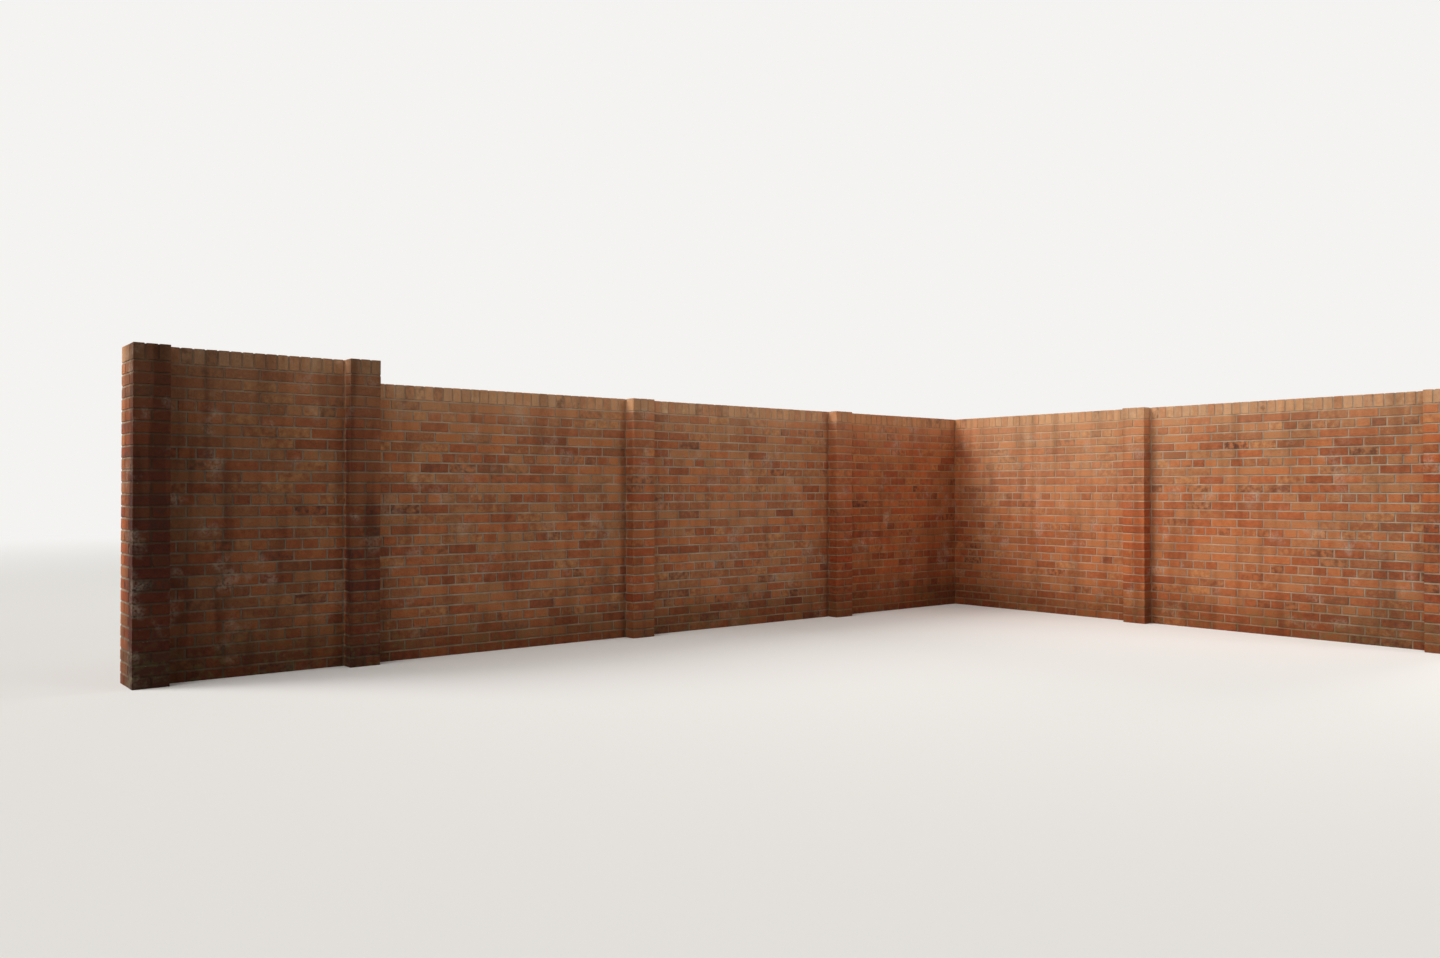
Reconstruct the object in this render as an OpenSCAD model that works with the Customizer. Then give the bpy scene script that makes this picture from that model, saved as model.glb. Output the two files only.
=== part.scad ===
// Brick garden wall in bays: a long run and a shorter return that meet at a square corner,
// with one-brick piers on the inner face, a brick-on-edge coping and a raised bay at one end.
// Every length follows the brick module, so that the bricks course and bond all the way round.

/* [Brick] */
// Length of one brick
brick_l = 215; // [190:1:250]
// Width of one brick
brick_w = 102.5; // [90:0.5:120]
// Height of one brick laid flat
brick_h = 65; // [50:1:80]
// Thickness of the mortar joints
joint_t = 10; // [8:0.5:14]

/* [Courses] */
// Courses of dark damp-proof brick at the foot
base_courses = 3; // [1:1:6]
// Courses of facing brick between the foot and the coping
face_courses = 22; // [10:1:30]
// Courses that the raised bay stands above the rest
raised_courses = 2; // [1:1:6]

/* [Long run] */
// Half bricks from the corner to the first pier
corner_bay_halves = 17; // [8:1:30]
// Half bricks from that pier to the middle pier
middle_bay_halves = 21; // [8:1:30]
// Half bricks from the middle pier to the pier at the step
step_bay_halves = 21; // [8:1:30]
// Half bricks from the pier at the step to the pier that ends the run
raised_bay_halves = 12; // [6:1:30]

/* [Return run] */
// Half bricks from the corner to the return's first pier
return_bay_halves = 20; // [8:1:30]
// Half bricks from that pier to the pier that ends the return
end_bay_halves = 22; // [8:1:30]

/* [Colours] */
// Bricks at the foot
base_colour = "#6b4736"; // [#6b4736, #5a3f33, #7b5240]
// Bricks of the bays
face_colour = "#9a6546"; // [#9a6546, #8a5a40, #b07a55]
// Bricks of the piers
pier_colour = "#8c5a3e"; // [#8c5a3e, #7d5038, #a06c4a]
// Bricks on edge along the top
coping_colour = "#b08059"; // [#b08059, #946448, #b98661]

/* [Hidden] */
// One brick with its joint, along each way that bricks are laid
half_module = brick_w + joint_t;
course_rise = brick_h + joint_t;

// The wall is one brick thick, and a pier is one brick wide and stands half a brick proud
wall_t = brick_l;
pier_w = brick_l;
pier_proud = half_module;
coping_h = brick_w;

// Levels at which the foot, the facing bricks and the facing bricks of the raised bay end
base_top = base_courses * course_rise;
face_top = base_top + face_courses * course_rise;
raised_top = face_top + raised_courses * course_rise;

// Distances of the pier centres from the crossing of the two centre lines
corner_pier_at = corner_bay_halves * half_module;
middle_pier_at = corner_pier_at + middle_bay_halves * half_module;
step_pier_at = middle_pier_at + step_bay_halves * half_module;
gable_pier_at = step_pier_at + raised_bay_halves * half_module;
return_pier_at = return_bay_halves * half_module;
end_pier_at = return_pier_at + end_bay_halves * half_module;

// The long run leaves the crossing of the centre lines along -X, with its inner face at -Y.
module long_run(at) {
    translate([-at, 0, 0]) children();
}

// The return leaves the same crossing along -Y, with its inner face at -X.
module return_run(at) {
    translate([0, -at, 0]) rotate([0, 0, -90]) mirror([1, 0, 0]) children();
}

// Masonry as thick as the wall, reaching back to +X from the next pier to the one at the origin.
module bay_block(halves, low, high) {
    translate([pier_w / 2, -wall_t / 2, low])
        cube([halves * half_module - pier_w, wall_t, high - low]);
}

// Masonry of a pier centred on the origin, the wall's thickness and half a brick more.
module pier_block(low, high) {
    translate([-pier_w / 2, -wall_t / 2 - pier_proud, low])
        cube([pier_w, wall_t + pier_proud, high - low]);
}

// Masonry where the two runs cross.
module corner_block(low, high) {
    translate([-wall_t / 2, -wall_t / 2, low]) cube([wall_t, wall_t, high - low]);
}

module corner_base() color(base_colour) corner_block(0, base_top);
module corner_face() color(face_colour) corner_block(base_top, face_top);
module corner_coping() color(coping_colour) corner_block(face_top, face_top + coping_h);

module corner_bay_base()
    color(base_colour) long_run(corner_pier_at) bay_block(corner_bay_halves, 0, base_top);
module corner_bay_face()
    color(face_colour) long_run(corner_pier_at) bay_block(corner_bay_halves, base_top, face_top);
module corner_bay_coping()
    color(coping_colour) long_run(corner_pier_at)
        bay_block(corner_bay_halves, face_top, face_top + coping_h);

module middle_bay_base()
    color(base_colour) long_run(middle_pier_at) bay_block(middle_bay_halves, 0, base_top);
module middle_bay_face()
    color(face_colour) long_run(middle_pier_at) bay_block(middle_bay_halves, base_top, face_top);
module middle_bay_coping()
    color(coping_colour) long_run(middle_pier_at)
        bay_block(middle_bay_halves, face_top, face_top + coping_h);

module step_bay_base()
    color(base_colour) long_run(step_pier_at) bay_block(step_bay_halves, 0, base_top);
module step_bay_face()
    color(face_colour) long_run(step_pier_at) bay_block(step_bay_halves, base_top, face_top);
module step_bay_coping()
    color(coping_colour) long_run(step_pier_at)
        bay_block(step_bay_halves, face_top, face_top + coping_h);

module raised_bay_base()
    color(base_colour) long_run(gable_pier_at) bay_block(raised_bay_halves, 0, base_top);
module raised_bay_face()
    color(face_colour) long_run(gable_pier_at) bay_block(raised_bay_halves, base_top, raised_top);
module raised_bay_coping()
    color(coping_colour) long_run(gable_pier_at)
        bay_block(raised_bay_halves, raised_top, raised_top + coping_h);

module return_bay_base()
    color(base_colour) return_run(return_pier_at) bay_block(return_bay_halves, 0, base_top);
module return_bay_face()
    color(face_colour) return_run(return_pier_at) bay_block(return_bay_halves, base_top, face_top);
module return_bay_coping()
    color(coping_colour) return_run(return_pier_at)
        bay_block(return_bay_halves, face_top, face_top + coping_h);

module end_bay_base()
    color(base_colour) return_run(end_pier_at) bay_block(end_bay_halves, 0, base_top);
module end_bay_face()
    color(face_colour) return_run(end_pier_at) bay_block(end_bay_halves, base_top, face_top);
module end_bay_coping()
    color(coping_colour) return_run(end_pier_at)
        bay_block(end_bay_halves, face_top, face_top + coping_h);

module corner_pier_base() color(base_colour) long_run(corner_pier_at) pier_block(0, base_top);
module corner_pier_shaft()
    color(pier_colour) long_run(corner_pier_at) pier_block(base_top, face_top);
module corner_pier_cap()
    color(coping_colour) long_run(corner_pier_at) pier_block(face_top, face_top + coping_h);

module middle_pier_base() color(base_colour) long_run(middle_pier_at) pier_block(0, base_top);
module middle_pier_shaft()
    color(pier_colour) long_run(middle_pier_at) pier_block(base_top, face_top);
module middle_pier_cap()
    color(coping_colour) long_run(middle_pier_at) pier_block(face_top, face_top + coping_h);

module step_pier_base() color(base_colour) long_run(step_pier_at) pier_block(0, base_top);
module step_pier_shaft()
    color(pier_colour) long_run(step_pier_at) pier_block(base_top, raised_top);
module step_pier_cap()
    color(coping_colour) long_run(step_pier_at) pier_block(raised_top, raised_top + coping_h);

module gable_pier_base() color(base_colour) long_run(gable_pier_at) pier_block(0, base_top);
module gable_pier_shaft()
    color(pier_colour) long_run(gable_pier_at) pier_block(base_top, raised_top);
module gable_pier_cap()
    color(coping_colour) long_run(gable_pier_at) pier_block(raised_top, raised_top + coping_h);

module return_pier_base() color(base_colour) return_run(return_pier_at) pier_block(0, base_top);
module return_pier_shaft()
    color(pier_colour) return_run(return_pier_at) pier_block(base_top, face_top);
module return_pier_cap()
    color(coping_colour) return_run(return_pier_at) pier_block(face_top, face_top + coping_h);

module end_pier_base() color(base_colour) return_run(end_pier_at) pier_block(0, base_top);
module end_pier_shaft()
    color(pier_colour) return_run(end_pier_at) pier_block(base_top, face_top);
module end_pier_cap()
    color(coping_colour) return_run(end_pier_at) pier_block(face_top, face_top + coping_h);

corner_base();
corner_face();
corner_coping();
corner_bay_base();
corner_bay_face();
corner_bay_coping();
middle_bay_base();
middle_bay_face();
middle_bay_coping();
step_bay_base();
step_bay_face();
step_bay_coping();
raised_bay_base();
raised_bay_face();
raised_bay_coping();
return_bay_base();
return_bay_face();
return_bay_coping();
end_bay_base();
end_bay_face();
end_bay_coping();
corner_pier_base();
corner_pier_shaft();
corner_pier_cap();
middle_pier_base();
middle_pier_shaft();
middle_pier_cap();
step_pier_base();
step_pier_shaft();
step_pier_cap();
gable_pier_base();
gable_pier_shaft();
gable_pier_cap();
return_pier_base();
return_pier_shaft();
return_pier_cap();
end_pier_base();
end_pier_shaft();
end_pier_cap();
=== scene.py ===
"""Dresses the brick garden wall with bricks and mortar, course by course, and sets up a studio.

Lengths are in metres. Distances along a run start where the two centre lines cross. Distances
across a run are positive towards its outer face and negative towards the face with the piers.
"""

from __future__ import annotations

import logging
import math
import random
from collections import defaultdict
from dataclasses import dataclass, field
from enum import Enum
from typing import Any, Iterator, Mapping, Sequence

import bmesh
import bpy
from mathutils import Euler, Matrix, Vector

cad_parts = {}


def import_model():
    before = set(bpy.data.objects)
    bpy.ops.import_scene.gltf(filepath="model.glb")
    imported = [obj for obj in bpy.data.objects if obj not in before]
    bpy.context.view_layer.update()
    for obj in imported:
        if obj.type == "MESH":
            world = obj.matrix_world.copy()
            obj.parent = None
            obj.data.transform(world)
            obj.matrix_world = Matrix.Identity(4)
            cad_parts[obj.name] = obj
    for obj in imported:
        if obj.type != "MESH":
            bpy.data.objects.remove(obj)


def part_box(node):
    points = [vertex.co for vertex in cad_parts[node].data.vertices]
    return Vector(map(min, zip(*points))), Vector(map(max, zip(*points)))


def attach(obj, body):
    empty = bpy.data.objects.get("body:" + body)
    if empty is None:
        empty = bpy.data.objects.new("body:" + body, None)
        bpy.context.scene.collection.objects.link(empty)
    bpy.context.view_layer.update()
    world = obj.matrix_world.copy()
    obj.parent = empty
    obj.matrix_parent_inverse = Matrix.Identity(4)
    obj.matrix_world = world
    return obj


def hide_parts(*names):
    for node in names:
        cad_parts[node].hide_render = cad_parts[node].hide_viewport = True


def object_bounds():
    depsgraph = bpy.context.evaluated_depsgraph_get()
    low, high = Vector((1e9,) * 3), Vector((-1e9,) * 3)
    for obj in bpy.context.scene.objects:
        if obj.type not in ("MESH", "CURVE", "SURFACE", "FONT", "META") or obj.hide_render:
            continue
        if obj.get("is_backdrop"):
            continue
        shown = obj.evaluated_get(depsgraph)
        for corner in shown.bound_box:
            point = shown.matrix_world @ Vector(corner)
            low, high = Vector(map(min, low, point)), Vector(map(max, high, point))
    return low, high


LOG = logging.getLogger("garden_wall")

Span = tuple[float, float]
Triple = tuple[float, float, float]
Colour = tuple[float, float, float, float]

SEED = 1987
BASE_COURSES = 3
CLOSER = 0.5  # A quarter brick, in half bricks.
DRY_SPECULAR = 0.25


def colour(code: str) -> Colour:
    """Turn a written colour into the linear values that a shader takes, by the sRGB curve.

    Args:
        code: The colour as six hexadecimal digits after a hash.

    Returns:
        Red, green, blue and an opaque alpha.
    """
    parts = [int(code[i : i + 2], 16) / 255 for i in (1, 3, 5)]
    red, green, blue = (
        p / 12.92 if p <= 0.04045 else ((p + 0.055) / 1.055) ** 2.4 for p in parts
    )
    return (red, green, blue, 1.0)


def colours(*codes: str) -> tuple[Colour, ...]:
    """Turn several written colours into linear values."""
    return tuple(colour(code) for code in codes)


class Value:
    """A shader socket that takes part in arithmetic."""

    def __init__(self, shader: Shader, socket: bpy.types.NodeSocket) -> None:
        """Keep the socket and the shader that new nodes go into."""
        self.shader = shader
        self.socket = socket

    def math(self, operation: str, first: Value | float, second: Value | float) -> Value:
        """Add a Math node.

        Args:
            operation: The Math node's operation.
            first: Its first value.
            second: Its second value.

        Returns:
            The node's result.
        """
        return self.shader.node(
            "ShaderNodeMath", {"operation": operation}, {0: first, 1: second}
        )

    def __add__(self, other: Value | float) -> Value:
        """Add."""
        return self.math("ADD", self, other)

    def __mul__(self, other: Value | float) -> Value:
        """Multiply."""
        return self.math("MULTIPLY", self, other)

    def __sub__(self, other: Value | float) -> Value:
        """Take the other value away."""
        return self.math("SUBTRACT", self, other)

    def __rsub__(self, other: float) -> Value:
        """Take this value away from a number."""
        return self.math("SUBTRACT", other, self)

    __radd__ = __add__
    __rmul__ = __mul__

    def rise(self, low: float, high: float) -> Value:
        """Turn the stretch from low to high into a smooth rise.

        Args:
            low: The value that becomes 0.
            high: The value that becomes 1.

        Returns:
            The smooth rise.
        """
        return self.shader.node(
            "ShaderNodeMapRange",
            {"interpolation_type": "SMOOTHSTEP"},
            {"Value": self, "From Min": low, "From Max": high},
        )


class Shader:
    """A node tree under construction, with one method that makes any node."""

    def __init__(self, owner: bpy.types.Material | bpy.types.World) -> None:
        """Clear the owner's nodes and keep the place that patterns are read at.

        Args:
            owner: The material or the world that the nodes are made for.
        """
        owner.use_nodes = True
        self.owner = owner
        self.tree = owner.node_tree
        self.tree.nodes.clear()
        self.place = self.node("ShaderNodeTexCoord", output="Object")

    def node(
        self,
        kind: str,
        settings: Mapping[str, Any] | None = None,
        inputs: Mapping[str | int, Any] | None = None,
        output: str | int = 0,
    ) -> Value:
        """Make a node.

        Args:
            kind: The node's type.
            settings: Its properties, set before its sockets. A ramp's colours are "stops".
            inputs: A number, colour, vector or value for each socket that is used.
            output: The output that is handed back.

        Returns:
            The chosen output.
        """
        made = self.tree.nodes.new(kind)
        for key, setting in (settings or {}).items():
            if key == "stops":
                self._spread(made.color_ramp, setting)
            else:
                setattr(made, key, setting)
        for key, given in (inputs or {}).items():
            if isinstance(given, Value):
                self.tree.links.new(given.socket, made.inputs[key])
            else:
                made.inputs[key].default_value = given
        return Value(self, made.outputs[output])

    @staticmethod
    def _spread(ramp: bpy.types.ColorRamp, shades: Sequence[Colour]) -> None:
        """Spread shades evenly over a ramp.

        Args:
            ramp: The ramp.
            shades: Its colours, from the low end to the high one.
        """
        while len(ramp.elements) < len(shades):
            ramp.elements.new(1.0)
        for i, (element, shade) in enumerate(zip(ramp.elements, shades)):
            element.position = i / (len(shades) - 1)
            element.color = shade

    def blend(
        self,
        amount: Value | float,
        under: Value | Colour,
        over: Value | Colour,
        mode: str = "MIX",
    ) -> Value:
        """Lay one colour over another. Several Mix sockets share a name, so they go by number.

        Args:
            amount: How much of the upper colour is laid on.
            under: The lower colour.
            over: The upper colour.
            mode: The Mix node's blend type.

        Returns:
            The blended colour.
        """
        return self.node(
            "ShaderNodeMix",
            {"data_type": "RGBA", "blend_type": mode},
            {0: amount, 6: under, 7: over},
            output=2,
        )

    def ramp(self, value: Value, shades: Sequence[Colour]) -> Value:
        """Turn a value from 0 to 1 into a colour between evenly spread shades."""
        return self.node("ShaderNodeValToRGB", {"stops": shades}, {"Fac": value})

    def attribute(self, name: str) -> Value:
        """Read a value that the mesh carries."""
        return self.node("ShaderNodeAttribute", {"attribute_name": name}, output="Fac")

    def moved(self, amount: Value) -> Value:
        """Move the place that patterns are read at by the same amount on each axis."""
        offset = self.node("ShaderNodeCombineXYZ", inputs={0: amount, 1: amount, 2: amount})
        return self.node(
            "ShaderNodeVectorMath", {"operation": "ADD"}, {0: self.place, 1: offset}
        )

    def stretched(self, scale: Triple) -> Value:
        """Scale the place that patterns are read at."""
        return self.node("ShaderNodeMapping", inputs={"Vector": self.place, "Scale": scale})

    def reading(self, axis: str) -> Value:
        """Read one coordinate of the place that patterns are read at."""
        return self.node("ShaderNodeSeparateXYZ", inputs={0: self.place}, output=axis)

    def height(self) -> Value:
        """Read the height above the ground."""
        return self.reading("Z")

    def left_of_corner(self) -> Value:
        """Read the distance that a point lies to the left of the corner, along -X."""
        return 0.0 - self.reading("X")

    def before_corner(self) -> Value:
        """Read the distance that a point lies before the corner, along -Y."""
        return 0.0 - self.reading("Y")

    def seen(self) -> Value:
        """Tell the light that reaches the camera, also by a reflection or through glass.

        Returns:
            A value of 1 for that light, and of 0 for the light that only falls on things.
        """
        looks = [
            self.node("ShaderNodeLightPath", output=f"Is {kind} Ray")
            for kind in ("Camera", "Glossy", "Transmission")
        ]
        return looks[0].math("MAXIMUM", looks[0], looks[1].math("MAXIMUM", looks[1], looks[2]))

    def rough_surface(self, paint: Value, roughness: Value, relief: Value, depth: float) -> None:
        """Close a material with a dry, rough surface.

        Args:
            paint: Its colour.
            roughness: Its roughness.
            relief: The height of its relief, from 0 to 1.
            depth: How deep that relief is.
        """
        normal = self.node("ShaderNodeBump", inputs={"Height": relief, "Distance": depth})
        inputs = {
            "Base Color": paint,
            "Roughness": roughness,
            "Specular IOR Level": DRY_SPECULAR,
            "Normal": normal,
        }
        self.close(self.node("ShaderNodeBsdfPrincipled", inputs=inputs))

    def close(self, surface: Value) -> None:
        """Join a surface to the tree's output.

        Args:
            surface: The shader of the material or of the world.
        """
        world = isinstance(self.owner, bpy.types.World)
        kind = "ShaderNodeOutputWorld" if world else "ShaderNodeOutputMaterial"
        output = self.tree.nodes.new(kind)
        self.tree.links.new(surface.socket, output.inputs["Surface"])


@dataclass(frozen=True)
class Clouds:
    """A cloudy pattern around 0.5, whose detail is the number of finer layers."""

    per_metre: float
    detail: float

    def draw(self, shader: Shader, place: Value | None = None) -> Value:
        """Draw the pattern.

        Args:
            shader: The material that is being made.
            place: Where the pattern is read, or the object's own coordinates.

        Returns:
            The pattern.
        """
        place = place or shader.place
        return shader.node(
            "ShaderNodeTexNoise",
            inputs={"Vector": place, "Scale": self.per_metre, "Detail": self.detail},
        )


@dataclass(frozen=True)
class Patches(Clouds):
    """The patches in which a cloudy pattern is over a threshold, with a soft edge."""

    none: float
    full: float

    def draw(self, shader: Shader, place: Value | None = None) -> Value:
        """Draw the patches.

        Args:
            shader: The material that is being made.
            place: Where the pattern is read, or the object's own coordinates.

        Returns:
            A value of 1 in the patches and of 0 between them.
        """
        return super().draw(shader, place).rise(self.none, self.full)


@dataclass(frozen=True)
class Weather:
    """What years outdoors have done to a surface, with painted light and shade laid over it.

    Damp, moss, algae, lichen, lime and streaks are all over the wall, which also darkens towards
    its foot and has painted light on its top courses. The side with the piers also has painted
    warm bounce light to the left of the corner, painted light on the return's upper half beside
    the corner, an orange tint on the return's lower half, and painted shade at both ends and on
    the long run's piers.
    """

    pier_side: Span = (-0.1, 0.1)
    # Painted warm light, as if bounced off the return, around the inner corner.
    red_dust: Colour = colour("#f2d0b4")
    red_edge: Clouds = Clouds(1.6, 3)
    red_wander: float = 0.5
    red_ends_left: Span = (1.9, 2.8)
    red_ends_before: Span = (0.15, 0.7)
    # Painted light on the top courses, and on the return's upper half beside the corner.
    bleach: Colour = colour("#eab283")
    bleach_amount: float = 0.22
    bleached_top: Span = (1.55, 1.90)
    sunny_height: Span = (0.7, 1.5)
    sunny_starts: Span = (0.0, 0.5)
    sunny_ends: Span = (2.1, 2.9)
    # An orange tint on the return's lower half.
    clay_dust: Colour = colour("#e27434")
    clay_amount: float = 0.18
    clay_starts: Span = (0.2, 0.8)
    clay_ends: Span = (3.4, 4.3)
    clay_height: Span = (0.8, 1.6)
    # The colour of dirt, and of painted shade on the ends, the long run's piers and the pits.
    soot: Colour = colour("#6d5c50")
    streaks: Patches = Patches(1.0, 3, 0.42, 0.72)
    streak_scale: Triple = (9.0, 9.0, 0.9)
    streak_amount: float = 0.25
    # The wall darkens towards its foot.
    splashes: Span = (0.1, 1.6)
    splash_amount: float = 0.16
    # Painted shade at both ends and on the long run's piers, the most at the raised bay.
    long_end: Span = (6.2, 7.8)
    long_end_amount: float = 0.58
    return_end: Span = (3.2, 4.4)
    return_end_amount: float = 0.16
    pier_faces: Span = (0.11, 0.15)
    piers_start: Span = (1.0, 1.5)
    pier_amount: float = 0.13
    step_starts: Span = (6.2, 6.5)
    step_ends: Span = (6.8, 7.1)
    step_amount: float = 0.35
    gable_starts: Span = (7.7, 7.9)
    gable_amount: float = 0.16
    lime: Colour = colour("#cdbca6")
    lime_amount: float = 0.30
    lime_patches: Patches = Patches(5.5, 5, 0.56, 0.74)
    lime_specks: Patches = Patches(60.0, 4, 0.3, 0.62)
    damp: Colour = colour("#d2c4b4")
    damp_edge: Clouds = Clouds(2.2, 3)
    damp_wander: float = 0.5
    damp_ends: Span = (0.225, 0.75)
    moss: Colour = colour("#5f6038")
    moss_amount: float = 0.4
    moss_patches: Patches = Patches(24.0, 4, 0.5, 0.7)
    algae: Colour = colour("#575240")
    algae_amount: float = 0.7
    algae_film: Patches = Patches(9.0, 5, 0.4, 0.66)
    lichen: Colour = colour("#b4ad8c")
    lichen_amount: float = 0.75
    lichen_spots: Patches = Patches(38.0, 3, 0.63, 0.7)

    def lay(self, shader: Shader, paint: Value) -> Value:
        """Lay painted bounce light, painted light, an orange tint, dirt, painted shade, lime
        bloom, damp and growth over a colour.

        Args:
            shader: The material that is being made.
            paint: Its clean colour.

        Returns:
            The weathered colour, with its painted light and shade.
        """
        # Painted warm bounce light around the inner corner.
        paint = shader.blend(self._redness(shader), paint, self.red_dust, "MULTIPLY")
        # Painted light on the top and beside the corner.
        paint = shader.blend(self._bleaching(shader), paint, self.bleach)
        paint = shader.blend(self._clay(shader), paint, self.clay_dust)
        # Dirt, and painted shade on the ends and the long run's piers.
        paint = shader.blend(self._dirt(shader), paint, self.soot, "MULTIPLY")
        bloom = self.lime_patches.draw(shader) * self.lime_specks.draw(shader)
        paint = shader.blend(bloom * self.lime_amount, paint, self.lime)
        wet = self._wetness(shader)
        paint = shader.blend(wet, paint, self.damp, "MULTIPLY")
        growth = self.moss_patches.draw(shader) * wet
        paint = shader.blend(growth * self.moss_amount, paint, self.moss)
        return self._settle(shader, paint)

    def _redness(self, shader: Shader) -> Value:
        """Painted warm bounce light reddens the bay to the left of the corner, and fades out past
        its pier.

        Args:
            shader: The material that is being made.

        Returns:
            How much painted bounce light there is.
        """
        left = shader.left_of_corner() + self.red_edge.draw(shader) * self.red_wander
        before = 1.0 - shader.before_corner().rise(*self.red_ends_before)
        return (1.0 - left.rise(*self.red_ends_left)) * before * self._on_pier_side(shader)

    def _bleaching(self, shader: Shader) -> Value:
        """Painted light lightens the wall's top, and the return's upper half beside the corner.

        Args:
            shader: The material that is being made.

        Returns:
            How much of the painted light shows.
        """
        height, before = shader.height(), shader.before_corner()
        beside = before.rise(*self.sunny_starts) * (1.0 - before.rise(*self.sunny_ends))
        lit_patch = beside * height.rise(*self.sunny_height) * self._on_pier_side(shader)
        return (height.rise(*self.bleached_top) + lit_patch) * self.bleach_amount

    def _clay(self, shader: Shader) -> Value:
        """An orange tint warms the return's lower half, and fades out in its end bay.

        Args:
            shader: The material that is being made.

        Returns:
            How much of the tint there is.
        """
        before, low = shader.before_corner(), 1.0 - shader.height().rise(*self.clay_height)
        beside = before.rise(*self.clay_starts) * (1.0 - before.rise(*self.clay_ends))
        return beside * low * self._on_pier_side(shader) * self.clay_amount

    def _dirt(self, shader: Shader) -> Value:
        """Rain leaves streaks, the wall darkens towards its foot, and painted shade darkens the
        ends and piers.

        Args:
            shader: The material that is being made.

        Returns:
            How much dirt and painted shade there is.
        """
        streaks = self.streaks.draw(shader, shader.stretched(self.streak_scale))
        splashes = 1.0 - shader.height().rise(*self.splashes)
        dirt = streaks * self.streak_amount + splashes * self.splash_amount
        return dirt + self._sootiness(shader)

    def _sootiness(self, shader: Shader) -> Value:
        """Painted shade darkens both ends and the long run's piers, the most at the raised bay.

        Args:
            shader: The material that is being made.

        Returns:
            How much painted shade there is.
        """
        left, before = shader.left_of_corner(), shader.before_corner()
        ends = left.rise(*self.long_end) * self.long_end_amount
        ends = ends + before.rise(*self.return_end) * self.return_end_amount
        step = left.rise(*self.step_starts) * (1.0 - left.rise(*self.step_ends))
        piers = left.rise(*self.piers_start) * self.pier_amount + step * self.step_amount
        piers = piers + left.rise(*self.gable_starts) * self.gable_amount
        return (ends + before.rise(*self.pier_faces) * piers) * self._on_pier_side(shader)

    def _on_pier_side(self, shader: Shader) -> Value:
        """Tell the side with the piers from the outer one.

        Args:
            shader: The material that is being made.

        Returns:
            A value of 1 on the side with the piers and of 0 on the outer one.
        """
        left, before = shader.left_of_corner(), shader.before_corner()
        return left.rise(*self.pier_side) * before.rise(*self.pier_side)

    def _wetness(self, shader: Shader) -> Value:
        """Damp rises from the ground to an uneven line.

        Args:
            shader: The material that is being made.

        Returns:
            How wet the surface is.
        """
        line = shader.height() + self.damp_edge.draw(shader) * self.damp_wander
        return 1.0 - line.rise(*self.damp_ends)

    def _settle(self, shader: Shader, paint: Value) -> Value:
        """Let algae and lichen settle on the faces that look up at the sky.

        Args:
            shader: The material that is being made.
            paint: Its colour so far.

        Returns:
            The colour with the growth on it.
        """
        sky = shader.attribute("sky")
        film = self.algae_film.draw(shader) * sky
        paint = shader.blend(film * self.algae_amount, paint, self.algae)
        spots = self.lichen_spots.draw(shader) * sky
        return shader.blend(spots * self.lichen_amount, paint, self.lichen)


@dataclass(frozen=True)
class BrickFinish:
    """Fired clay in the tones of one kind of brick.

    Each brick has a tone of its own, with softer clouds over it. Some bricks are burnt darker
    where the fire reached them. Sand and pits break the face up, with painted shade in the pits.
    """

    name: str
    slot: str
    tones: tuple[Colour, ...]
    burnt: Colour = colour("#6b4031")
    weather: Weather = Weather()
    seed_reach: float = 9.0
    clouds: Clouds = Clouds(26.0, 3)
    tone_share: float = 0.85
    cloud_share: float = 0.5
    tone_shift: float = 0.18
    flash: Span = (0.35, 0.7)
    grit: Clouds = Clouds(420.0, 2)
    sand: tuple[Colour, ...] = colours("#8f8a86", "#ffffff", "#ffffff")
    sand_amount: float = 0.8
    pits: Patches = Patches(190.0, 2, 0.61, 0.72)
    pit_amount: float = 0.4
    creases: Clouds = Clouds(85.0, 5)
    grit_height: float = 0.2
    crease_height: float = 0.8
    pit_depth: float = 0.3
    relief: float = 0.005
    roughest: float = 0.96
    smoothing: float = 0.18

    def material(self) -> bpy.types.Material:
        """Make the material, which reads each brick's own tone, burn and seed.

        Returns:
            The material.
        """
        material = bpy.data.materials.new(self.name)
        shader = Shader(material)
        place = shader.moved(shader.attribute("seed") * self.seed_reach)
        grit = self.grit.draw(shader, place)
        clouds = self.clouds.draw(shader, place)
        tone = shader.attribute("tone") * self.tone_share + clouds * self.cloud_share
        paint = shader.ramp(tone - self.tone_shift, self.tones)
        flash = shader.attribute("burn") * clouds.rise(*self.flash)
        paint = shader.blend(flash, paint, self.burnt)
        paint = shader.blend(self.sand_amount, paint, shader.ramp(grit, self.sand), "MULTIPLY")
        pits = self.pits.draw(shader, place)
        # Painted shade darkens the pits.
        paint = shader.blend(pits * self.pit_amount, paint, self.weather.soot, "MULTIPLY")
        paint = self.weather.lay(shader, paint)
        creases = self.creases.draw(shader, place)
        heights = grit * self.grit_height + creases * self.crease_height - pits * self.pit_depth
        roughness = self.roughest - clouds * self.smoothing
        shader.rough_surface(paint, roughness, heights, self.relief)
        return material


@dataclass(frozen=True)
class MortarFinish:
    """Lime and sand mortar, darker and lighter by the grain and by the patch."""

    name: str
    slot: str
    light: Colour
    dark: Colour
    weather: Weather = Weather()
    sand: Clouds = Clouds(520.0, 2)
    patches: Clouds = Clouds(7.0, 4)
    lightens: Span = (0.75, 1.25)
    relief: float = 0.0015
    roughest: float = 0.98
    smoothing: float = 0.1

    def material(self) -> bpy.types.Material:
        """Make the material.

        Returns:
            The material.
        """
        material = bpy.data.materials.new(self.name)
        shader = Shader(material)
        sand, patches = self.sand.draw(shader), self.patches.draw(shader)
        paint = shader.blend((sand + patches).rise(*self.lightens), self.dark, self.light)
        paint = self.weather.lay(shader, paint)
        roughness = self.roughest - patches * self.smoothing
        shader.rough_surface(paint, roughness, sand, self.relief)
        return material


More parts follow.
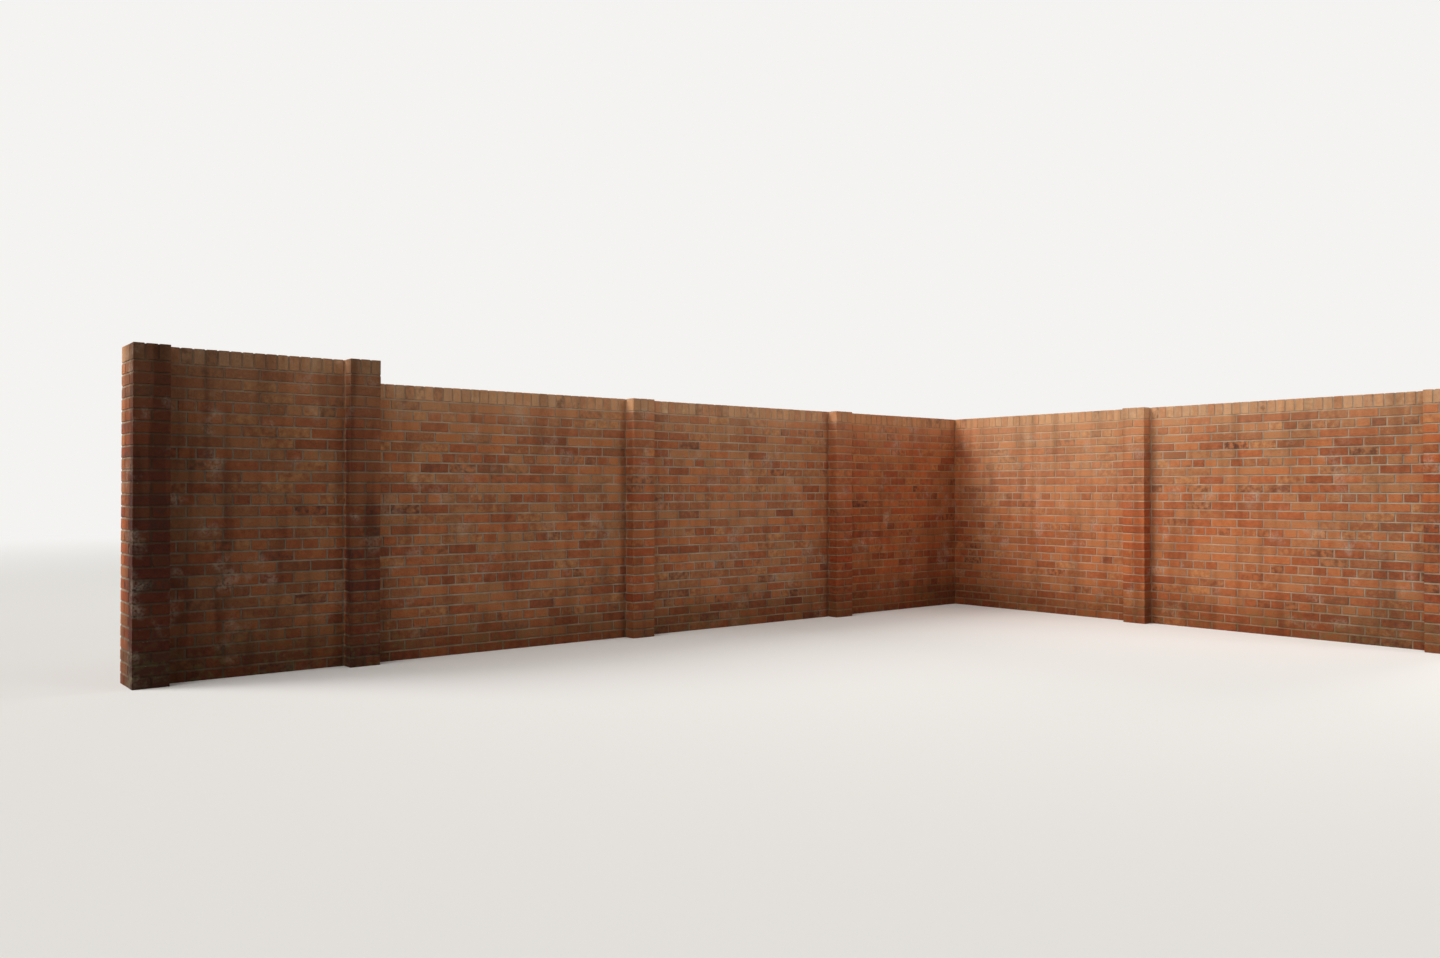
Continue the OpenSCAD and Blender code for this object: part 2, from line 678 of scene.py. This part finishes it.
@dataclass(frozen=True)
class BrickSize:
    """One brick and the joint around it."""

    length: float
    width: float
    height: float
    joint: float

    @classmethod
    def from_frame(cls) -> BrickSize:
        """Read the brick off the corner, a brick square, with its courses and brick on edge.

        Returns:
            The brick.
        """
        coping_low, coping_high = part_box("corner_coping")
        base_low, base_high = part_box("corner_base")
        length = coping_high[0] - coping_low[0]
        width = coping_high[2] - coping_low[2]
        joint = length - 2 * width
        return cls(length, width, (base_high[2] - base_low[2]) / BASE_COURSES - joint, joint)

    @property
    def half(self) -> float:
        """Half a brick's length, with its joint."""
        return self.width + self.joint

    @property
    def rise(self) -> float:
        """A course, with its bed joint."""
        return self.height + self.joint


class Kind(Enum):
    """What a stretch of wall is, with the names of its layers above the foot."""

    CORNER = ("corner", "face", "coping")
    BAY = ("bay", "face", "coping")
    PIER = ("pier", "shaft", "cap")

    @classmethod
    def of(cls, name: str) -> Kind:
        """Tell the kind from the last word of a stretch's name."""
        return next(kind for kind in cls if kind.value[0] == name.split("_")[-1])

    @property
    def body(self) -> str:
        """The layer between the foot and the top."""
        return self.value[1]

    @property
    def crown(self) -> str:
        """The layer of bricks on edge."""
        return self.value[2]


class Heading(Enum):
    """Which way a run leaves the crossing, as its axis along and its axis across."""

    LEFT = (0, 1)
    FORWARD = (1, 0)


@dataclass(frozen=True)
class Box:
    """A box in the frame, with the axes along and across its run."""

    low: Vector
    high: Vector
    heading: Heading

    @property
    def centre(self) -> Vector:
        """Its middle."""
        return (self.low + self.high) / 2


@dataclass
class Pile:
    """The bricks and the mortar that stand for one node."""

    bricks: list[Box] = field(default_factory=list)
    beds: list[Box] = field(default_factory=list)
    fills: list[Box] = field(default_factory=list)


@dataclass
class Stretch:
    """The corner, a bay or a pier of a run, measured along that run."""

    name: str
    heading: Heading
    kind: Kind = field(init=False)
    along: Span = field(init=False)
    top: float = field(init=False)

    def __post_init__(self) -> None:
        """Read the stretch's length and height off its node."""
        self.kind = Kind.of(self.name)
        low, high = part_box(f"{self.name}_{self.kind.body}")
        axis = self.heading.value[0]
        self.along = (-high[axis], -low[axis])
        self.top = high[2]

    @property
    def length(self) -> float:
        """Its length along the run."""
        return self.along[1] - self.along[0]

    @property
    def middle(self) -> float:
        """The distance of its middle."""
        return sum(self.along) / 2

    def covers(self, distance: float) -> bool:
        """Whether a distance along the run lies in it."""
        return self.along[0] <= distance < self.along[1]

    def layer(self, course: int) -> str:
        """The node that a course belongs to."""
        return f"{self.name}_{'base' if course < BASE_COURSES else self.kind.body}"

    @property
    def crown(self) -> str:
        """The node of its bricks on edge."""
        return f"{self.name}_{self.kind.crown}"


@dataclass
class Run:
    """A straight run, laid in English garden wall bond.

    Three courses of stretchers go between two of headers. At the corner the runs pass each
    other in turn: the run that leads on a course goes through to the outer face. Mortar lies
    back from the faces by its recess, laps from a bay into its piers and grips the bricks.
    """

    heading: Heading
    names: tuple[str, ...]
    leads_on_odd: bool
    size: BrickSize
    bond_repeat: int = 4
    mortar_recess: float = 0.0045
    pier_recess: float = 0.005
    lap: float = 0.015
    grip: float = 0.0015

    def __post_init__(self) -> None:
        """Measure the stretches and the depths at which bricks lie."""
        self.stretches = [Stretch(name, self.heading) for name in self.names]
        edge, near = self.size.length / 2, self.size.joint / 2
        self.proud: float = self.size.half
        self.outer: Span = (near, edge)
        self.inner: Span = (-edge, -near)
        self.through: Span = (-edge, edge)
        self.front: Span = (-edge - self.proud, -edge - self.size.joint)
        self.deep: Span = (-edge - self.proud, -near)

    def box(self, along: Span, across: Span, up: Span) -> Box:
        """Turn spans along the run, across it and up into a box in the frame.

        Args:
            along: The distances along the run.
            across: The distances across it.
            up: The heights.

        Returns:
            The box.
        """
        axis, side = self.heading.value
        low, high = Vector(), Vector()
        low[axis], high[axis] = -along[1], -along[0]
        low[side], high[side] = across
        low.z, high.z = up
        return Box(low, high, self.heading)

    def lay(self, piles: defaultdict[str, Pile]) -> None:
        """Lay every course, point the joints and close the top.

        Args:
            piles: The pile of each node, to which the run's bricks and mortar are added.
        """
        courses = round(max(s.top for s in self.stretches) / self.size.rise)
        for course in range(courses):
            self._lay_course(course, piles)
        for stretch in self.stretches:
            if self._closes(stretch):
                self._fill(stretch, piles)
                self._crown(stretch, piles[stretch.crown])

    def _closes(self, stretch: Stretch) -> bool:
        """Whether the run makes a stretch's mortar and top, as only one run does at the corner."""
        return stretch.kind is not Kind.CORNER or self.leads_on_odd

    def _lay_course(self, course: int, piles: defaultdict[str, Pile]) -> None:
        """Lay one course and its bed joint over the stretches that reach it.

        Args:
            course: The course, counted from the ground.
            piles: The pile of each node.
        """
        size = self.size
        up = (course * size.rise, course * size.rise + size.height)
        built = [s for s in self.stretches if s.top > up[1]]
        for start, end, across in self._bricks(course, built):
            along = (start * size.half + size.joint / 2, end * size.half - size.joint / 2)
            owner = next(s for s in built if s.covers(sum(along) / 2))
            piles[owner.layer(course)].bricks.append(self.box(along, across, up))
        bed = (up[1] - self.grip, up[1] + size.joint + self.grip)
        for stretch in built:
            if self._closes(stretch):
                along, across = self._mortar_plan(stretch)
                piles[stretch.layer(course)].beds.append(self.box(along, across, bed))

    def _bricks(
        self, course: int, built: Sequence[Stretch]
    ) -> Iterator[tuple[float, float, Span]]:
        """Set out one course in half bricks.

        Args:
            course: The course, counted from the ground.
            built: The stretches that it runs over.

        Yields:
            The start and the end of each brick, in half bricks, and its depth.
        """
        half = self.size.half
        first = round(built[0].along[0] / half)
        last = round(built[-1].along[1] / half)
        piers = [round(s.middle / half) for s in built if s.kind is Kind.PIER]
        odd = course % 2 == 1
        leads = odd == self.leads_on_odd
        turns = built[0].kind is Kind.CORNER
        if turns and leads:
            yield -1, 1, self.outer
        if odd:
            for pier in piers:
                yield pier - 1, pier + 1, self.front
            yield last - 1, last, self.through
            if not turns:
                yield first, first + 1, self.through
        else:
            for pier in piers:
                yield pier - 1, pier, self.deep
                yield pier, pier + 1, self.deep
        if course % self.bond_repeat == self.bond_repeat - 1:
            yield from self._headers(first, last, turns, leads)
            return
        stop = last - 1 if odd else last
        outer_phase, inner_phase = (1, 0) if leads else (0, 1)
        outer_start = (1 if leads else 0) if turns else first + (1 if odd else 0)
        yield from self._stretchers(outer_start, stop, outer_phase, self.outer)
        inner_start = (0 if leads else 1) if turns else first + (1 if odd else 0)
        for pier in [] if odd else piers:
            yield from self._stretchers(inner_start, pier - 1, inner_phase, self.inner)
            inner_start = pier + 1
        yield from self._stretchers(inner_start, stop, inner_phase, self.inner)

    def _headers(
        self, first: int, last: int, turns: bool, leads: bool
    ) -> Iterator[tuple[float, float, Span]]:
        """Set out headers, with a quarter-brick closer next to each end.

        Args:
            first: Where the run starts, in half bricks.
            last: Where it ends.
            turns: Whether it starts at the corner.
            leads: Whether it goes through the corner on this course.

        Yields:
            The start and the end of each header, in half bricks, and its depth.
        """
        start = first + 1 if not turns else (1 if leads else 0)
        stop = last - 1 - CLOSER
        yield start, start + CLOSER, self.through
        yield stop, last - 1, self.through
        cell = start + CLOSER
        while cell < stop:
            yield cell, cell + 1, self.through
            cell += 1

    @staticmethod
    def _stretchers(
        first: int, last: int, phase: int, across: Span
    ) -> Iterator[tuple[float, float, Span]]:
        """Set out stretchers, with a half brick where a whole one would break the bond.

        Args:
            first: Where they start, in half bricks.
            last: Where they end.
            phase: The half brick at which a whole one starts, even or odd.
            across: The depth of their leaf.

        Yields:
            The start and the end of each stretcher, in half bricks, and its depth.
        """
        cell = first
        while cell < last:
            whole = (cell - phase) % 2 == 0 and cell + 2 <= last
            step = 2 if whole else 1
            yield cell, cell + step, across
            cell += step

    def _mortar_plan(self, stretch: Stretch) -> tuple[Span, Span]:
        """Where a stretch's mortar lies in plan, recessed behind its bricks.

        A bay's mortar laps into the piers beside it, which are recessed a little more.

        Args:
            stretch: The stretch.

        Returns:
            The mortar's span along the run and its span across it.
        """
        start, end = stretch.along
        if stretch.kind is Kind.BAY:
            edge = self.size.length / 2 - self.mortar_recess
            return (start - self.lap, end + self.lap), (-edge, edge)
        edge = self.size.length / 2 - self.pier_recess
        proud = self.proud if stretch.kind is Kind.PIER else 0.0
        return (start + self.pier_recess, end - self.pier_recess), (-edge - proud, edge)

    def _fill(self, stretch: Stretch, piles: defaultdict[str, Pile]) -> None:
        """Fill the upright joints of a stretch, below and above the top of the foot.

        Args:
            stretch: The stretch.
            piles: The pile of each node.
        """
        along, across = self._mortar_plan(stretch)
        foot = BASE_COURSES * self.size.rise
        for node, up in (
            (stretch.layer(0), (0.0, foot)),
            (stretch.layer(BASE_COURSES), (foot, stretch.top)),
        ):
            piles[node].fills.append(self.box(along, across, up))

    def _crown(self, stretch: Stretch, pile: Pile) -> None:
        """Close a stretch with bricks on edge and the joints between them.

        Args:
            stretch: The stretch.
            pile: The pile of the node at its top.
        """
        size = self.size
        open_ends = stretch.kind is Kind.BAY
        over = -size.joint if open_ends else size.joint
        count = round((stretch.length + over) / size.rise)
        spare = stretch.length - count * size.height
        joint = spare / (count + 1 if open_ends else count - 1)
        start = stretch.along[0] + (joint if open_ends else 0.0)
        up = (stretch.top, stretch.top + size.width)
        pier = stretch.kind is Kind.PIER
        rows = (self.through, self.front) if pier else (self.through,)
        for i in range(count):
            low = start + i * (size.height + joint)
            for across in rows:
                pile.bricks.append(self.box((low, low + size.height), across, up))
        recess = self.mortar_recess if open_ends else self.pier_recess
        depth = (rows[-1][0] + recess, self.through[1] - recess)
        top = (up[0] - self.grip, up[1] - recess)
        for i in range(0 if open_ends else 1, count + (1 if open_ends else 0)):
            low = start + i * (size.height + joint) - joint
            gap = (low - self.grip, low + joint + self.grip)
            pile.fills.append(self.box(gap, depth, top))
        if pier:
            between = (self.front[1] - self.grip, self.through[0] + self.grip)
            ends = (stretch.along[0] + recess, stretch.along[1] - recess)
            pile.fills.append(self.box(ends, between, (top[0], top[1] - self.grip)))


@dataclass
class Masonry:
    """Turns piles into pieces that ride on the wall and stand for its nodes.

    Bricks wobble out of true, wear at the arris, lose chips at some corners, and some are
    burnt. Bed joints are struck: their lower edge stands proud, with a ripple along it.
    """

    mortar: bpy.types.Material
    mortar_slot: str
    wobble: float = 0.0013
    arris: float = 0.003
    chip: float = 0.012
    chip_share: float = 0.035
    burn_share: float = 0.12
    burn: Span = (0.5, 1.0)
    chip_segments: int = 1
    arris_segments: int = 2
    struck: float = 0.0029
    ripple: float = 0.0005
    ripple_pitch: float = 0.11
    rng: random.Random = field(default_factory=lambda: random.Random(SEED))

    def bricks(
        self, node: str, boxes: Sequence[Box], slot: str, material: bpy.types.Material
    ) -> bpy.types.Object:
        """Make a node's bricks, each a little out of true, with worn arrises and chips.

        Args:
            node: The node that they stand for.
            boxes: The bricks.
            slot: The record's material slot.
            material: Their material.

        Returns:
            The piece.
        """
        mesh = bmesh.new()
        layers = {
            name: mesh.faces.layers.float.new(name) for name in ("tone", "burn", "seed", "sky")
        }
        for box in boxes:
            corners = self._add(mesh, box.low, box.high)
            for corner in corners:
                for axis in range(3):
                    towards = box.centre[axis] - corner.co[axis]
                    corner.co[axis] += math.copysign(self.rng.uniform(0, self.wobble), towards)
            burnt = self.rng.random() < self.burn_share
            marks = {
                "tone": self.rng.random(),
                "burn": self.rng.uniform(*self.burn) if burnt else 0.0,
                "seed": self.rng.random(),
            }
            for face in {face for corner in corners for face in corner.link_faces}:
                for name, mark in marks.items():
                    face[layers[name]] = mark
        knocked = [vert for vert in mesh.verts if self.rng.random() < self.chip_share]
        self._bevel(mesh, knocked, "VERTICES", self.chip, self.chip_segments)
        self._bevel(mesh, mesh.edges[:], "EDGES", self.arris, self.arris_segments)
        mesh.normal_update()
        for face in mesh.faces:
            face[layers["sky"]] = max(0.0, face.normal.z)
        return self._piece(mesh, f"{node}_bricks", node, material, slot)

    def joints(self, node: str, pile: Pile) -> bpy.types.Object:
        """Make a node's mortar: the upright joints, and bed joints struck to shed water.

        Args:
            node: The node that it stands for.
            pile: The mortar's boxes.

        Returns:
            The piece.
        """
        mesh = bmesh.new()
        for box in pile.fills:
            self._add(mesh, box.low, box.high)
        for box in pile.beds:
            self._strike(mesh, box)
        return self._piece(mesh, f"{node}_mortar", node, self.mortar, self.mortar_slot)

    def _strike(self, mesh: bmesh.types.BMesh, box: Box) -> None:
        """Make one bed joint, proud at its lower edge and rippled by the trowel.

        Args:
            mesh: The mesh that the joint is added to.
            box: The joint.
        """
        proud = Vector((self.struck, self.struck, 0.0))
        corners = self._add(mesh, box.low - proud, box.high + proud)
        for corner in corners:
            if corner.co.z > box.centre.z:
                for axis in range(2):
                    towards = box.centre[axis] - corner.co[axis]
                    corner.co[axis] += math.copysign(self.struck, towards)
        axis, side = box.heading.value
        length = (box.high - box.low)[axis]
        long_edges = [
            edge
            for edge in dict.fromkeys(edge for corner in corners for edge in corner.link_edges)
            if abs(edge.verts[0].co[axis] - edge.verts[1].co[axis]) > length / 2
        ]
        cuts = max(1, round(length / self.ripple_pitch))
        made = bmesh.ops.subdivide_edges(mesh, edges=long_edges, cuts=cuts, use_grid_fill=True)
        for part in made["geom_inner"]:
            if isinstance(part, bmesh.types.BMVert):
                part.co[side] += self.rng.uniform(-self.ripple, self.ripple)

    @staticmethod
    def _add(mesh: bmesh.types.BMesh, low: Vector, high: Vector) -> list[bmesh.types.BMVert]:
        """Add a box between two corners and hand its vertices back."""
        place = Matrix.Translation((low + high) / 2) @ Matrix.Diagonal((*(high - low), 1.0))
        return bmesh.ops.create_cube(mesh, size=1.0, matrix=place)["verts"]

    @staticmethod
    def _bevel(
        mesh: bmesh.types.BMesh, parts: Sequence[Any], affect: str, offset: float, segments: int
    ) -> None:
        """Bevel vertices or edges by the same offset."""
        bmesh.ops.bevel(
            mesh, geom=parts, affect=affect, offset=offset, offset_type="OFFSET",
            segments=segments, profile=0.5, clamp_overlap=True, material=-1,
        )

    @staticmethod
    def _piece(
        mesh: bmesh.types.BMesh, name: str, node: str, material: bpy.types.Material, slot: str
    ) -> bpy.types.Object:
        """Turn a finished mesh into a piece of the wall that stands for a node.

        Args:
            mesh: The mesh, which is freed.
            name: The piece's name.
            node: The node that it stands for.
            material: Its material.
            slot: The record's material slot, which is not used.

        Returns:
            The piece.
        """
        data = bpy.data.meshes.new(name)
        mesh.to_mesh(data)
        mesh.free()
        data.materials.append(material)
        piece = bpy.data.objects.new(name, data)
        bpy.context.scene.collection.objects.link(piece)
        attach(piece, "root")
        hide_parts(node)
        return piece


@dataclass
class GardenWall:
    """The whole wall: two runs that share their corner."""

    finishes: Mapping[str, BrickFinish]
    mortar: MortarFinish

    def build(self) -> None:
        """Lay both runs, then make the bricks and the mortar of each node."""
        size = BrickSize.from_frame()
        piles: defaultdict[str, Pile] = defaultdict(Pile)
        Run(Heading.LEFT, LONG_RUN, leads_on_odd=True, size=size).lay(piles)
        Run(Heading.FORWARD, RETURN, leads_on_odd=False, size=size).lay(piles)
        masonry = Masonry(self.mortar.material(), self.mortar.slot)
        materials = {layer: finish.material() for layer, finish in self.finishes.items()}
        for node, pile in piles.items():
            layer = node.split("_")[-1]
            slot = self.finishes[layer].slot
            piece = masonry.bricks(node, pile.bricks, slot, materials[layer])
            LOG.info("%s: %d bricks", piece.name, len(pile.bricks))
            piece = masonry.joints(node, pile)
            LOG.info("%s: %d stretches of mortar", piece.name, len(pile.beds) + len(pile.fills))


@dataclass(frozen=True)
class FarLamp:
    """A soft lamp so far away that it lights the wall evenly. Its angles are in degrees."""

    name: str
    turn: float
    climb: float
    strength: float
    softness: float

    def hang(self) -> None:
        """Hang the lamp. Its turn is from -X towards +Y, seen from above."""
        turn, climb = math.radians(self.turn), math.radians(self.climb)
        source = Vector((
            -math.cos(climb) * math.cos(turn),
            math.cos(climb) * math.sin(turn),
            math.sin(climb),
        ))
        data = bpy.data.lights.new(self.name, "SUN")
        data.energy = self.strength
        data.angle = math.radians(self.softness)
        lamp = bpy.data.objects.new(self.name, data)
        lamp.rotation_euler = source.to_track_quat("Z", "Y").to_euler()
        bpy.context.scene.collection.objects.link(lamp)


@dataclass(frozen=True)
class SoftBox:
    """A broad lamp near the wall, which lights the closer bays more than the far ones.

    Its spread is in degrees.
    """

    name: str
    spot: Triple
    aim: Triple
    width: float
    watts: float
    spread: float

    def hang(self) -> None:
        """Hang the lamp out of the camera's sight."""
        data = bpy.data.lights.new(self.name, "AREA")
        data.shape = "DISK"
        data.size = self.width
        data.energy = self.watts
        data.spread = math.radians(self.spread)
        lamp = bpy.data.objects.new(self.name, data)
        lamp.location = self.spot
        away = Vector(self.spot) - Vector(self.aim)
        lamp.rotation_euler = away.to_track_quat("Z", "Y").to_euler()
        lamp.visible_camera = False
        bpy.context.scene.collection.objects.link(lamp)


@dataclass(frozen=True)
class Viewpoint:
    """Where the photograph was taken from, measured from the inner corner.

    Angles are in degrees, and the lens and the sensor in millimetres.
    """

    eye_height: float = 1.222
    ahead: float = 11.90
    aside: float = 2.526
    turn: float = 39.3
    pitch: float = 0.56
    focal_length: float = 27.68
    sensor: float = 36.0
    sight: float = 500.0

    def place(self) -> None:
        """Set the camera up, with the corner ahead of it and to its right."""
        corner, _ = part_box("corner_face")
        turn = math.radians(self.turn)
        forward = Vector((math.sin(turn), math.cos(turn), 0.0))
        right = Vector((math.cos(turn), -math.sin(turn), 0.0))
        spot = Vector((corner[0], corner[1], self.eye_height))
        data = bpy.data.cameras.new("camera")
        data.sensor_fit = "HORIZONTAL"
        data.sensor_width = self.sensor
        data.lens = self.focal_length
        data.clip_end = self.sight
        camera = bpy.data.objects.new("camera", data)
        camera.location = spot - forward * self.ahead - right * self.aside
        camera.rotation_euler = Euler((math.radians(90 + self.pitch), 0.0, -turn))
        bpy.context.scene.collection.objects.link(camera)
        bpy.context.scene.camera = camera


@dataclass(frozen=True)
class Studio:
    """A plain pale floor that fades into a pale backdrop, and soft light.

    Light that bounces off the floor takes the bounce colour and not the floor's own.
    """

    lamps: tuple[FarLamp | SoftBox, ...]
    backdrop: Colour = colour("#f4f3f1")
    floor: Colour = colour("#f0ede8")
    bounce: Colour = colour("#96938f")
    fill: float = 0.15
    floor_size: float = 200.0
    fade_start: float = 9.0
    fade_end: float = 26.0

    def set_up(self) -> None:
        """Lay the floor, light the world and hang the lamps."""
        bpy.context.scene.view_settings.view_transform = "Standard"
        self._lay_floor()
        self._light_world()
        for lamp in self.lamps:
            lamp.hang()

    def _lay_floor(self) -> None:
        """Lay the floor, which is seen to fade out into the backdrop."""
        material = bpy.data.materials.new("studio_floor")
        shader = Shader(material)
        far = shader.node(
            "ShaderNodeVectorMath", {"operation": "LENGTH"}, {0: shader.place}, output="Value"
        ).rise(self.fade_start, self.fade_end)
        seen = shader.seen()
        paint = shader.blend(seen, self.bounce, self.floor)
        plain = shader.node("ShaderNodeBsdfDiffuse", inputs={"Color": paint})
        glow = shader.node("ShaderNodeEmission", inputs={"Color": self.backdrop})
        shader.close(shader.node("ShaderNodeMixShader", inputs={0: far * seen, 1: plain, 2: glow}))
        mesh = bmesh.new()
        bmesh.ops.create_grid(mesh, x_segments=1, y_segments=1, size=self.floor_size / 2)
        data = bpy.data.meshes.new("floor")
        mesh.to_mesh(data)
        mesh.free()
        data.materials.append(material)
        floor = bpy.data.objects.new("floor", data)
        bpy.context.scene.collection.objects.link(floor)
        floor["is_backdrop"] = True

    def _light_world(self) -> None:
        """Fill the shade evenly, behind a backdrop that is seen but lights nothing."""
        world = bpy.data.worlds.new("studio")
        bpy.context.scene.world = world
        shader = Shader(world)
        seen = shader.seen()
        fill = shader.node("ShaderNodeBackground", inputs={"Strength": self.fill})
        wall = shader.node("ShaderNodeBackground", inputs={"Color": self.backdrop})
        shader.close(shader.node("ShaderNodeMixShader", inputs={0: seen, 1: fill, 2: wall}))


FACING_TONES = colours("#985535", "#b66840", "#c97c4c", "#bc8256", "#a76440", "#d69862")
PIER_TONES = colours("#984c2b", "#b65d34", "#c9703e", "#bc7547", "#a75a34", "#d68a51")
BASE_TONES = colours("#8d4e31", "#a9603b", "#bb7346", "#ae7850", "#9b5c3b", "#c68c5a")
COPING_TONES = colours("#b27650", "#cb8c62", "#d9a274", "#cda07a", "#be865c", "#e2b88c")

FINISHES = {
    "face": BrickFinish("facing_brick", "face_brick", FACING_TONES),
    "shaft": BrickFinish("pier_brick", "pier_brick", PIER_TONES),
    "base": BrickFinish("foot_brick", "base_brick", BASE_TONES),
    "coping": BrickFinish("coping_brick", "coping_brick", COPING_TONES),
    "cap": BrickFinish("cap_brick", "coping_brick", COPING_TONES),
}
MORTAR = MortarFinish("sand_mortar", "mortar", colour("#bda88f"), colour("#94806a"))

LONG_RUN = (
    "corner", "corner_bay", "corner_pier", "middle_bay", "middle_pier",
    "step_bay", "step_pier", "raised_bay", "gable_pier",
)
RETURN = ("corner", "return_bay", "return_pier", "end_bay", "end_pier")

LAMPS = (
    FarLamp("key", turn=30.0, climb=36.0, strength=1.85, softness=30.0),
    FarLamp("front", turn=-10.0, climb=45.0, strength=1.6, softness=60.0),
    SoftBox("fill", (1.5, -13.0, 8.0), (-2.5, 0.0, 1.0), width=5.0, watts=52.0, spread=60.0),
    SoftBox("side", (12.0, -4.0, 8.0), (0.0, -2.5, 1.0), width=5.0, watts=70.0, spread=60.0),
)


def main() -> None:
    """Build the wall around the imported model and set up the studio."""
    logging.basicConfig(level=logging.INFO, format="%(message)s")
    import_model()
    cad_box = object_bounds()
    Viewpoint().place()
    GardenWall(FINISHES, MORTAR).build()
    Studio(LAMPS).set_up()
    boxes = {"cad": cad_box, "scene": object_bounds()}
    {name: [list(corner) for corner in box] for name, box in boxes.items()}


if __name__ == "__main__":
    main()
